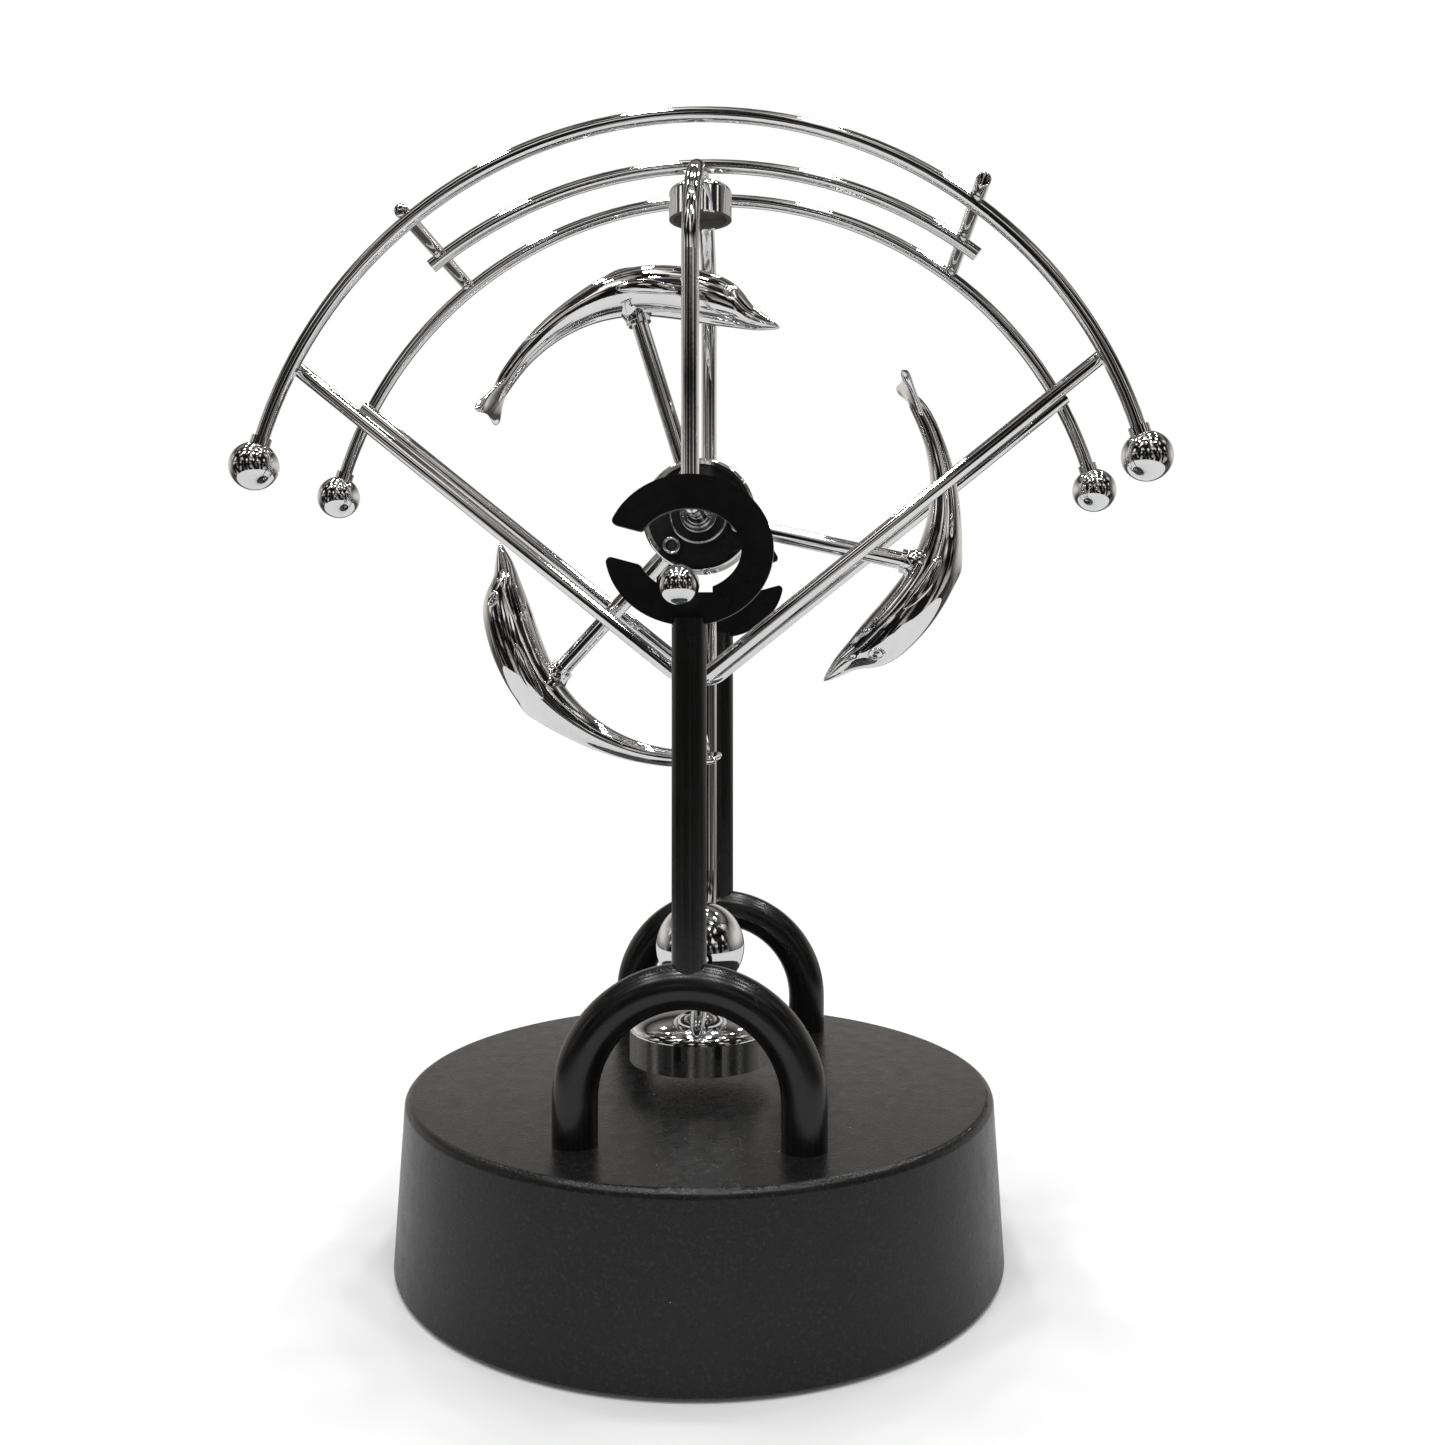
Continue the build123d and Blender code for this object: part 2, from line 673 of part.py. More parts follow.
finish_part(pendulum_rod.part, "pendulum_rod")

with BuildPart() as pivot_balls:
    with Locations((0, -pin_end_y, pivot_z), (0, pin_end_y, pivot_z)):
        Sphere(pin_ball_radius)
    add(pendulum_rod.part, mode=Mode.SUBTRACT)
finish_part(pivot_balls.part, "pivot_balls")

with BuildPart() as big_ball:
    with Locations((0, 0, pendulum_bottom_z + rod_radius + big_ball_radius - weld_sink)):
        Sphere(big_ball_radius)
    add(pendulum_rod.part, mode=Mode.SUBTRACT)
finish_part(big_ball.part, "big_ball")


def build_cup(name, radius, side, dome, bottom, rod):
    """A turned bob with a rounded top seated on a rod, and a bore below for its magnet."""
    with BuildPart() as cup:
        with BuildSketch(Plane.XZ):
            with BuildLine():
                foot = Line((0, bottom), (radius, bottom))
                wall_line = Line(foot @ 1, (radius, bottom + side))
                crown = EllipticalCenterArc((0, bottom + side), radius, dome, start_angle=0, arc_size=90)
                Line(crown @ 1, (0, bottom))
            make_face()
        revolve(axis=Axis.Z)
        with BuildSketch(Plane.XY.offset(bottom)):
            Circle(radius - shell_wall)
        extrude(amount=side - shell_wall, mode=Mode.SUBTRACT)
        add(rod, mode=Mode.SUBTRACT)
    finish_part(cup.part, name)


# ---------------------------------------------------------------- fork
# One rod: axle pin, bend, leg, half-round top, leg, bend, axle pin.
top_centre_z = fork_top_z - leg_y
with BuildPart() as fork:
    with BuildLine() as fork_line:
        turn_in = leg_bend_radius * (1 - sqrt(0.5))
        front_pin = Line((0, -axle_end_gap / 2, hub_z), (0, -leg_y + leg_bend_radius, hub_z))
        front_turn = ThreePointArc(
            front_pin @ 1,
            (0, -leg_y + turn_in, hub_z + turn_in),
            (0, -leg_y, hub_z + leg_bend_radius),
        )
        front_side = Line(front_turn @ 1, (0, -leg_y, top_centre_z))
        top = ThreePointArc(front_side @ 1, (0, 0, fork_top_z), (0, leg_y, top_centre_z))
        rear_side = Line(top @ 1, (0, leg_y, hub_z + leg_bend_radius))
        rear_turn = ThreePointArc(
            rear_side @ 1,
            (0, leg_y - turn_in, hub_z + turn_in),
            (0, leg_y - leg_bend_radius, hub_z),
        )
        Line(rear_turn @ 1, (0, axle_end_gap / 2, hub_z))
    with BuildSketch(Plane(origin=fork_line.line @ 0, z_dir=fork_line.line % 0)):
        Circle(rod_radius)
    sweep(path=fork_line.line)
    # The middle arc is set into the top of the fork.
    add(middle_arc, mode=Mode.SUBTRACT)
finish_part(fork.part, "fork")

cap_bottom = fork_top_z - rod_radius + cup_seat - cap_dome - cap_side
build_cup("top_cap", cap_radius, cap_side, cap_dome, cap_bottom, fork.part)
disc_bottom = base_top + disc_gap
disc_dome = pendulum_bottom_z - rod_radius + cup_seat - disc_bottom - disc_side
build_cup("disc_housing", disc_radius, disc_side, disc_dome, disc_bottom, pendulum_rod.part)

for magnet_name, cup_radius, cup_side, cup_bottom, inset in (
    ("top_magnet", cap_radius, cap_side, cap_bottom, cap_magnet_inset),
    ("disc_magnet", disc_radius, disc_side, disc_bottom, disc_magnet_inset),
):
    with BuildPart() as magnet:
        with BuildSketch(Plane.XY.offset(cup_bottom + inset)):
            Circle(cup_radius - shell_wall)
        extrude(amount=cup_side - shell_wall - inset)
    finish_part(magnet.part, magnet_name)


# ---------------------------------------------------------------- V braces
def build_brace(name, y):
    """A rod bent to a V, welded inside the arc at its ends and to the leg at its bend."""
    top_x, top_z = on_arc(brace_top_angle)
    vertex_z = pivot_z - brace_vertex_drop
    run = sqrt(top_x**2 + (top_z - vertex_z) ** 2)
    stretch = (run + brace_stub) / run
    end_x, end_z = top_x * stretch, vertex_z + (top_z - vertex_z) * stretch
    with BuildPart() as brace:
        with BuildLine() as brace_line:
            FilletPolyline((-end_x, y, end_z), (0, y, vertex_z), (end_x, y, end_z), radius=brace_bend_radius)
        with BuildSketch(Plane(origin=brace_line.line @ 0, z_dir=brace_line.line % 0)):
            Circle(brace_rod_radius)
        sweep(path=brace_line.line)
        for piece in (front_arc, rear_arc, pendulum_rod.part):
            add(piece, mode=Mode.SUBTRACT)
    finish_part(brace.part, name)


brace_y = leg_y - arc_rod_radius - brace_rod_radius + brace_arc_sink
build_brace("front_brace", -brace_y)
build_brace("rear_brace", brace_y)

# ---------------------------------------------------------------- rotor hub
tube_places = [(hub_tube_circle * cos(radians(a)), hub_tube_circle * sin(radians(a))) for a in spoke_angles]
hub_inner_radius = hub_radius - hub_wall
face_y = hub_half_width - hub_face_recess
bush_bore = rod_radius + axle_fit


def hub_plane(y):
    """A sketch plane at the hub that faces -Y, so its own Y is the object's Z."""
    return Plane(origin=(0, y, hub_z), x_dir=(1, 0, 0), z_dir=(0, -1, 0))


with BuildPart() as hub_shell:
    with BuildSketch(hub_plane(hub_half_width)):
        Circle(hub_radius)
        Circle(hub_inner_radius, mode=Mode.SUBTRACT)
    extrude(amount=2 * hub_half_width)
    hub_rims = hub_shell.edges().filter_by(GeomType.CIRCLE).group_by(SortBy.RADIUS)[-1]
    fillet(hub_rims, radius=hub_edge_fillet)
    with BuildSketch(hub_plane(hub_web / 2)):
        Circle(hub_inner_radius)
        Circle(bush_radius, mode=Mode.SUBTRACT)
        with Locations(*tube_places):
            Circle(hub_tube_radius, mode=Mode.SUBTRACT)
    extrude(amount=hub_web)
finish_part(hub_shell.part, "hub_shell")

for face_name, face_side in (("hub_front_face", 1), ("hub_rear_face", -1)):
    with BuildPart() as hub_face:
        with BuildSketch(hub_plane(-face_side * hub_web / 2)):
            Circle(hub_inner_radius)
        extrude(amount=face_side * (face_y - hub_web / 2))
        with BuildSketch(hub_plane(-face_side * face_y)):
            Circle(hub_boss_radius)
        extrude(amount=face_side * hub_boss_proud)
        with BuildSketch(hub_plane(-face_side * hub_web / 2)):
            Circle(bush_radius)
        extrude(amount=face_side * hub_half_width, mode=Mode.SUBTRACT)
        with BuildSketch(hub_plane(-face_side * hub_web / 2)):
            with Locations(*tube_places):
                Circle(hub_tube_radius)
        extrude(amount=face_side * hub_half_width, mode=Mode.SUBTRACT)
    finish_part(hub_face.part, face_name)

bush_half_length = face_y + hub_boss_proud + bush_proud
with BuildPart() as hub_bush:
    with BuildSketch(hub_plane(bush_half_length)):
        Circle(bush_radius)
        Circle(bush_bore, mode=Mode.SUBTRACT)
    extrude(amount=2 * bush_half_length)
finish_part(hub_bush.part, "hub_bush")

tube_half_length = face_y + hub_tube_proud
with BuildPart() as hub_tubes:
    with BuildSketch(hub_plane(tube_half_length)):
        with Locations(*tube_places):
            Circle(hub_tube_radius)
            Circle(hub_tube_bore, mode=Mode.SUBTRACT)
    extrude(amount=2 * tube_half_length)
finish_part(hub_tubes.part, "hub_tubes")

with BuildPart() as axle_collars:
    collar_y = bush_half_length + axle_collar_gap
    for side in (-1, 1):
        with BuildSketch(hub_plane(side * collar_y)):
            Circle(axle_collar_radius)
            Circle(rod_radius, mode=Mode.SUBTRACT)
        extrude(amount=-side * axle_collar_length)
finish_part(axle_collars.part, "axle_collars")


# ---------------------------------------------------------------- dolphins and spokes
# Sections of the body by angle from its spoke: (angle, middle radius from the hub,
# half depth, half width). The head leads at the negative angles.
body_sections = (
    (-40.4, 38.1, 0.35, 0.45),
    (-36.4, 38.0, 1.2, 1.3),
    (-32.9, 38.2, 2.0, 2.1),
    (-28.9, 39.1, 3.1, 3.2),
    (-23.9, 40.3, 4.4, 4.1),
    (-15.9, 41.5, 4.95, 4.8),
    (-6.9, 43.1, 5.0, 4.8),
    (1.1, 44.3, 4.3, 4.3),
    (9.1, 44.9, 3.4, 3.5),
    (18.1, 45.2, 2.5, 2.5),
    (28.1, 45.3, 1.95, 1.8),
    (38.1, 45.2, 1.7, 1.5),
)
fluke_root_angle = 37.0
fluke_tip_angle = 47.6
fluke_half_spread = 7.2
fluke_half_thickness = 0.7
fluke_root_half_width = 1.0
fluke_bulge = (0.55, 0.75)
fluke_notch = 0.72
fluke_radius = 44.8
dorsal_outline = ((46.0, -6.0), (49.0, -0.5), (49.0, 1.8), (46.0, 8.5))
dorsal_half_thickness = 0.7
flipper_radius = 42.6
flipper_angle = -6.0
flipper_half_length = 4.8
flipper_half_width = 1.5
flipper_half_thickness = 0.6
flipper_spread = 4.0
flipper_lean = 0.1


def polar(radius, angle, y=0.0, height=hub_z):
    """A point by its radius and angle about the hub, or about another height."""
    return radius * cos(radians(angle)), y, height + radius * sin(radians(angle))


def radial_plane(radius, angle, y=0.0):
    """A plane across the body there: its X points out from the hub, its normal along the swim."""
    return Plane(
        origin=polar(radius, angle, y),
        x_dir=(cos(radians(angle)), 0, sin(radians(angle))),
        z_dir=(-sin(radians(angle)), 0, cos(radians(angle))),
    )


def outward_plane(radius, angle, y=0.0):
    """A plane there that faces away from the hub, with its X along the swim."""
    return Plane(
        origin=polar(radius, angle, y),
        x_dir=(-sin(radians(angle)), 0, cos(radians(angle))),
        z_dir=(cos(radians(angle)), 0, sin(radians(angle))),
    )


def build_dolphin(number, spoke_angle):
    """One dolphin, its spoke, and the magnet at the bottom of the spoke's socket."""
    with BuildPart() as dolphin:
        for angle, radius, half_depth, half_width in body_sections:
            with BuildSketch(radial_plane(radius, spoke_angle + angle)):
                Ellipse(half_depth, half_width)
        loft()
        # Tail flukes: a thin crescent, spread across Y.
        with BuildSketch(outward_plane(fluke_radius - fluke_half_thickness, spoke_angle + fluke_root_angle)):
            reach = fluke_radius * sin(radians(fluke_tip_angle - fluke_root_angle))
            with BuildLine():
                bulge_x, bulge_y = reach * fluke_bulge[0], fluke_half_spread * fluke_bulge[1]
                outline = Spline(
                    (0, fluke_root_half_width), (bulge_x, bulge_y), (reach, fluke_half_spread)
                )
                notch = Spline(outline @ 1, (reach * fluke_notch, 0), (reach, -fluke_half_spread))
                Spline(notch @ 1, (bulge_x, -bulge_y), (0, -fluke_root_half_width))
                Line((0, -fluke_root_half_width), (0, fluke_root_half_width))
            make_face()
        extrude(amount=2 * fluke_half_thickness)
        # Low dorsal fin, swept back.
        with BuildSketch(Plane(origin=(0, 0, hub_z), x_dir=polar(1, spoke_angle, 0, 0), z_dir=(0, -1, 0))):
            with BuildLine():
                Polyline(
                    *[(radius * cos(radians(angle)), radius * sin(radians(angle)))
                      for radius, angle in dorsal_outline],
                    close=True,
                )
            make_face()
        extrude(amount=dorsal_half_thickness, both=True)
        # Flippers: flat leaves lying back along the flanks.
        for side in (-1, 1):
            with BuildSketch(
                Plane(
                    origin=polar(flipper_radius, spoke_angle + flipper_angle, side * flipper_spread),
                    x_dir=(
                        -sin(radians(spoke_angle + flipper_angle)),
                        -side * flipper_lean,
                        cos(radians(spoke_angle + flipper_angle)),
                    ),
                    z_dir=(
                        -sin(radians(spoke_angle + flipper_angle)) * flipper_lean,
                        side,
                        cos(radians(spoke_angle + flipper_angle)) * flipper_lean,
                    ),
                )
            ):
                Ellipse(flipper_half_length, flipper_half_width)
            extrude(amount=flipper_half_thickness, both=True)
        # The socket for the spoke and the magnet.
        with BuildSketch(outward_plane(spoke_joint_radius - 2 * spoke_collar_length, spoke_angle)):
            Circle(spoke_radius)
        extrude(amount=2 * spoke_collar_length + rotor_magnet_length, mode=Mode.SUBTRACT)
    finish_part(dolphin.part, f"dolphin_{number}")

    with BuildPart() as spoke:
        with BuildSketch(outward_plane(hub_radius - hub_wall, spoke_angle)):
            Circle(spoke_radius)
        extrude(amount=spoke_joint_radius - hub_radius + hub_wall)
        add(hub_shell.part, mode=Mode.SUBTRACT)
        with BuildSketch(hub_plane(hub_half_width)):
            Circle(hub_radius)
        extrude(amount=2 * hub_half_width, mode=Mode.SUBTRACT)
        # A small weld collar where it meets the belly.
        with BuildSketch(outward_plane(spoke_joint_radius - spoke_collar_length, spoke_angle)):
            Circle(spoke_collar_radius)
        extrude(amount=spoke_collar_length)
        add(dolphin.part, mode=Mode.SUBTRACT)
    finish_part(spoke.part, f"spoke_{number}")


for number, spoke_angle in enumerate(spoke_angles, start=1):
    build_dolphin(number, spoke_angle)

with BuildPart() as rotor_magnets:
    for spoke_angle in spoke_angles:
        with BuildSketch(outward_plane(spoke_joint_radius, spoke_angle)):
            Circle(spoke_radius)
        extrude(amount=rotor_magnet_length)
finish_part(rotor_magnets.part, "rotor_magnets")
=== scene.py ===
import json
from math import cos, pi, radians, sin

import bmesh
import bpy
import numpy as np
from mathutils import Matrix, Vector


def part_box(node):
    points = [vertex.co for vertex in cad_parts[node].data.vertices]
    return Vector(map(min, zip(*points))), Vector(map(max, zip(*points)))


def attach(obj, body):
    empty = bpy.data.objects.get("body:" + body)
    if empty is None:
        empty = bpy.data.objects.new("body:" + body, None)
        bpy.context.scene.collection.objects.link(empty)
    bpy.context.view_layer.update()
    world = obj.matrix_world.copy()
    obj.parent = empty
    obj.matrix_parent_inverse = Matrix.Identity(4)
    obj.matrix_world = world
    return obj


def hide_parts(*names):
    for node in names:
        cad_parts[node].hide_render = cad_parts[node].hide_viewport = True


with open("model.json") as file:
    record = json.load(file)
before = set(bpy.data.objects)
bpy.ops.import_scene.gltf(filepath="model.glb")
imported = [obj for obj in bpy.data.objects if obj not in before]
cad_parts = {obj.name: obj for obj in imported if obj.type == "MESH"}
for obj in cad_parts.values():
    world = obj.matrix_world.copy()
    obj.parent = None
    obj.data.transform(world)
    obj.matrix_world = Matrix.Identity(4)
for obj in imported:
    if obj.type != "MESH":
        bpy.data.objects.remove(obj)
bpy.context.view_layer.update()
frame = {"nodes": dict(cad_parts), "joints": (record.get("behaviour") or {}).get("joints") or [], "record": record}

# The looks of a magnetic desk toy: a chrome swing with a rotor of three cast dolphins, on
# black bent-rod stands and a round black base. Lengths are in metres, as in the frame,
# and MM turns a millimetre figure into metres.
MM = 0.001
joint_place = {j["name"]: Vector(j["pos_m"]) for j in frame["joints"]}
hub_centre = joint_place["rotor_spin"]
slot_of = {p["node"]: p["material_slot"] for p in frame["record"]["subparts"]}


# ---------------------------------------------------------------- node helpers
class Graph:
    """Builds a node material in short steps. Textures read object coordinates in metres."""

    def __init__(self, name):
        self.material = bpy.data.materials.new(name)
        self.material.use_nodes = True
        self.tree = self.material.node_tree
        self.shader = self.tree.nodes["Principled BSDF"]
        self.coords = self.tree.nodes.new("ShaderNodeTexCoord").outputs["Object"]

    def node(self, kind, inputs=None, **settings):
        made = self.tree.nodes.new(kind)
        for key, value in settings.items():
            setattr(made, key, value)
        for key, value in (inputs or {}).items():
            if isinstance(value, bpy.types.NodeSocket):
                self.tree.links.new(value, made.inputs[key])
            else:
                made.inputs[key].default_value = value
        return made

    def stretched(self, scale, turn=(0, 0, 0)):
        return self.node(
            "ShaderNodeMapping", {"Vector": self.coords, "Scale": scale, "Rotation": turn}
        ).outputs[0]

    def noise(self, scale, detail=3.0, roughness=0.5, coords=None, distortion=0.0):
        return self.node(
            "ShaderNodeTexNoise",
            {"Vector": coords or self.coords, "Scale": scale, "Detail": detail,
             "Roughness": roughness, "Distortion": distortion},
        ).outputs["Fac"]

    def spots(self, scale, size, share):
        """1 inside small round spots, one to a cell at most, in that share of the cells."""
        cell = self.node("ShaderNodeTexVoronoi", {"Vector": self.coords, "Scale": scale})
        near = self.math("LESS_THAN", cell.outputs["Distance"], size)
        chance = self.node("ShaderNodeSeparateColor", {"Color": cell.outputs["Color"]}).outputs[0]
        return self.math("MULTIPLY", near, self.math("LESS_THAN", chance, share))

    def math(self, operation, a, b=0.0):
        return self.node("ShaderNodeMath", {0: a, 1: b}, operation=operation).outputs[0]

    def span(self, value, low, high, start=0.0, end=1.0):
        """Maps the texture values start..end to low..high, and clamps."""
        return self.node(
            "ShaderNodeMapRange",
            {"Value": value, "From Min": start, "From Max": end, "To Min": low, "To Max": high},
        ).outputs["Result"]

    def mix(self, factor, a, b):
        made = self.node("ShaderNodeMix", data_type="RGBA")
        for socket, value in ((made.inputs[0], factor), (made.inputs[6], a), (made.inputs[7], b)):
            if isinstance(value, bpy.types.NodeSocket):
                self.tree.links.new(value, socket)
            else:
                socket.default_value = value
        return made.outputs[2]

    def set(self, **values):
        for key, value in values.items():
            socket = self.shader.inputs[key.replace("_", " ")]
            if isinstance(value, bpy.types.NodeSocket):
                self.tree.links.new(value, socket)
            else:
                socket.default_value = value

    def bump(self, height, distance, strength=1.0, below=None):
        inputs = {"Height": height, "Distance": distance, "Strength": strength}
        if below is not None:
            inputs["Normal"] = below
        return self.node("ShaderNodeBump", inputs).outputs["Normal"]


def grey(value, warm=0.0):
    return (value + warm, value, value - warm, 1.0)


# ---------------------------------------------------------------- materials
def chrome_material():
    g = Graph("chrome")
    haze = g.noise(180, 4, 0.6)
    ripple = g.noise(650, 2, 0.5)
    smear = g.noise(60, 5, 0.65, distortion=0.8)
    g.set(Base_Color=g.mix(g.span(smear, 0, 1, 0.3, 0.75), (0.83, 0.84, 0.85, 1), (0.92, 0.92, 0.92, 1)),
          Metallic=1.0, Roughness=g.span(haze, 0.02, 0.07, 0.35, 0.7),
          Normal=g.bump(ripple, 0.012 * MM, 0.6))
    return g.material


def plated_casting_material():
    g = Graph("plated_casting")
    haze = g.noise(220, 4, 0.6)
    flow = g.noise(260, 2, 0.5, distortion=0.6)
    pits = g.spots(900, 0.1, 0.12)
    cloud = g.span(g.noise(70, 5, 0.6), 0, 1, 0.35, 0.7)
    g.set(Base_Color=g.mix(cloud, (0.86, 0.86, 0.87, 1), (0.94, 0.94, 0.94, 1)),
          Metallic=1.0, Roughness=g.span(haze, 0.015, 0.06, 0.35, 0.7),
          Normal=g.bump(pits, -0.02 * MM, 0.5, below=g.bump(flow, 0.05 * MM, 0.6)))
    return g.material


def base_plastic_material():
    g = Graph("base_plastic")
    grain = g.noise(2300, 2, 0.6)
    cloud = g.noise(35, 4, 0.6)
    dust = g.math("MAXIMUM", g.spots(95, 0.016, 0.35), g.spots(260, 0.03, 0.1))
    scuff = g.span(g.noise(40, 6, 0.75, g.stretched((1, 1, 9), (0.4, 0.2, 0.9))), 0, 1, 0.66, 0.74)
    shade = g.mix(g.span(cloud, 0, 1, 0.3, 0.7), grey(0.004), grey(0.0065))
    shade = g.mix(g.span(g.noise(1500, 3, 0.7), 0, 1, 0.52, 0.7), shade, grey(0.016))
    shade = g.mix(g.math("MULTIPLY", scuff, 0.04), shade, grey(0.07))
    g.set(Base_Color=g.mix(dust, shade, grey(0.5)),
          Roughness=g.span(g.noise(300, 4, 0.6), 0.22, 0.33, 0.3, 0.7),
          Normal=g.bump(grain, 0.05 * MM, 0.8))
    g.set(Specular_IOR_Level=0.36)
    return g.material


def stand_paint_material():
    g = Graph("stand_paint")
    drag = g.noise(300, 4, 0.6, g.stretched((1, 1, 0.4)))
    peel = g.noise(900, 2, 0.5)
    scratch = g.span(g.noise(230, 6, 0.8, g.stretched((1, 1, 0.12), (0.3, 0.1, 0))), 0, 1, 0.68, 0.72)
    shade = g.mix(g.span(g.noise(60, 4, 0.6), 0, 1, 0.35, 0.7), grey(0.0015), grey(0.003))
    g.set(Base_Color=g.mix(g.math("MULTIPLY", scratch, 0.2), shade, grey(0.12)),
          Roughness=g.span(drag, 0.2, 0.28, 0.35, 0.7),
          Normal=g.bump(peel, 0.02 * MM, 0.6))
    return g.material


def ring_paint_material():
    g = Graph("ring_paint")
    facing = g.node("ShaderNodeSeparateXYZ", {"Vector": g.node("ShaderNodeNewGeometry").outputs["Normal"]})
    edge = g.span(g.math("ABSOLUTE", facing.outputs["Y"]), 1, 0, 0.35, 0.9)
    # Painted highlight: the rim faces, whose normals lie across Y, are painted lighter as a sheen, broken up by
    # noise.
    painted_rim_sheen = g.math("MULTIPLY", edge, g.span(g.noise(500, 5, 0.7), 0.25, 1, 0.35, 0.65))
    shade = g.mix(g.span(g.noise(120, 4, 0.6), 0, 1, 0.35, 0.7), grey(0.002), grey(0.004))
    g.set(Base_Color=g.mix(g.math("MULTIPLY", painted_rim_sheen, 0.5), shade, grey(0.12)),
          Roughness=g.span(g.noise(700, 3, 0.6), 0.26, 0.4, 0.3, 0.7),
          Normal=g.bump(g.noise(1500, 2, 0.5), 0.02 * MM, 0.6))
    g.set(Specular_IOR_Level=0.22)
    return g.material


def brushed_material(name, tone, low, high):
    g = Graph(name)
    lines = g.noise(2600, 3, 0.6, g.stretched((0.06, 1, 1)))
    g.set(Base_Color=g.mix(g.span(g.noise(200, 4), 0, 1, 0.3, 0.7), grey(tone * 0.85), grey(tone)),
          Metallic=1.0, Roughness=g.span(lines, low, high, 0.3, 0.7),
          Normal=g.bump(lines, 0.01 * MM, 0.5))
    return g.material


def moulded_material(name, colour, other, low, high, grain_size=1800):
    g = Graph(name)
    g.set(Base_Color=g.mix(g.span(g.noise(150, 4), 0, 1, 0.3, 0.7), (*colour, 1), (*other, 1)),
          Roughness=g.span(g.noise(600, 3), low, high, 0.3, 0.7),
          Normal=g.bump(g.noise(grain_size, 2), 0.02 * MM, 0.6))
    return g.material


def copper_material():
    g = Graph("copper")
    turns = g.node("ShaderNodeTexWave", {"Vector": g.coords, "Scale": 900.0, "Distortion": 0.4},
                   bands_direction="Z").outputs["Fac"]
    g.set(Base_Color=g.mix(turns, (0.30, 0.11, 0.04, 1), (0.72, 0.33, 0.15, 1)), Metallic=1.0,
          Roughness=g.span(g.noise(400, 3), 0.2, 0.35, 0.3, 0.7), Normal=g.bump(turns, 0.08 * MM, 0.8))
    return g.material


def board_material():
    g = Graph("board")
    tracks = g.node("ShaderNodeTexVoronoi", {"Vector": g.coords, "Scale": 300.0},
                    feature="DISTANCE_TO_EDGE").outputs["Distance"]
    tracks = g.span(tracks, 0, 1, 0.08, 0.12)
    g.set(Base_Color=g.mix(tracks, (0.02, 0.10, 0.04, 1), (0.05, 0.24, 0.10, 1)),
          Roughness=g.span(g.noise(500, 3), 0.3, 0.45, 0.3, 0.7), Normal=g.bump(tracks, 0.03 * MM, 0.8))
    return g.material


material_of = {
    "chrome": chrome_material(),
    "plated_casting": plated_casting_material(),
    "base_plastic": base_plastic_material(),
    "stand_paint": stand_paint_material(),
    "ring_paint": ring_paint_material(),
    "plated_steel": brushed_material("plated_steel", 0.6, 0.25, 0.4),
    "bush_steel": brushed_material("bush_steel", 0.6, 0.12, 0.28),
    "magnet": moulded_material("magnet", (0.03, 0.027, 0.025), (0.05, 0.045, 0.04), 0.5, 0.7),
    "rubber": moulded_material("rubber", (0.02, 0.02, 0.02), (0.035, 0.035, 0.035), 0.7, 0.9),
    "dark_plastic": moulded_material(
        "dark_plastic", (0.03, 0.03, 0.033), (0.05, 0.05, 0.055), 0.4, 0.6),
    "hub_black": moulded_material(
        "hub_black", (0.006, 0.006, 0.007), (0.014, 0.014, 0.015), 0.08, 0.2, grain_size=500),
    "wire": moulded_material("wire", (0.36, 0.02, 0.02), (0.5, 0.04, 0.03), 0.3, 0.45),
    "copper": copper_material(),
    "board": board_material(),
}


for node_name, node_object in frame["nodes"].items():
    node_object.data.materials.clear()
    node_object.data.materials.append(material_of[slot_of[node_name]])

# ---------------------------------------------------------------- dolphins
# A cast dolphin swims round the hub, belly inwards. It is built in polar form about the
# hub: degrees from its spoke (the head at the negative end), millimetres from the hub,
# and millimetres across. Body stations: degrees, belly radius, back radius, half width.
STATIONS = np.array([
    (-40.4, 37.95, 38.25, 0.30),
    (-39.6, 37.62, 38.55, 0.70),
    (-38.0, 37.15, 38.95, 1.10),
    (-36.0, 36.65, 39.40, 1.45),
    (-34.0, 36.30, 39.85, 1.80),
    (-32.0, 36.12, 40.45, 2.20),
    (-30.6, 36.03, 41.15, 2.60),
    (-29.2, 35.98, 42.10, 3.05),
    (-27.6, 35.95, 43.10, 3.50),
    (-25.4, 35.93, 44.15, 3.90),
    (-22.5, 36.00, 45.05, 4.30),
    (-18.9, 36.25, 45.85, 4.65),
    (-13.9, 36.95, 46.85, 4.85),
    (-8.9, 37.85, 47.70, 4.80),
    (-3.9, 38.95, 48.40, 4.60),
    (1.1, 40.00, 48.70, 4.25),
    (6.1, 40.95, 48.55, 3.80),
    (11.1, 41.80, 48.15, 3.25),
    (16.1, 42.45, 47.85, 2.75),
    (21.1, 42.95, 47.55, 2.35),
    (26.1, 43.28, 47.30, 2.00),
    (31.1, 43.48, 47.05, 1.75),
    (36.1, 43.50, 46.80, 1.55),
    (39.6, 43.55, 46.35, 1.35),
    (42.1, 43.95, 45.75, 0.90),
])
BODY_STEPS = 260
BODY_ROUND = 112


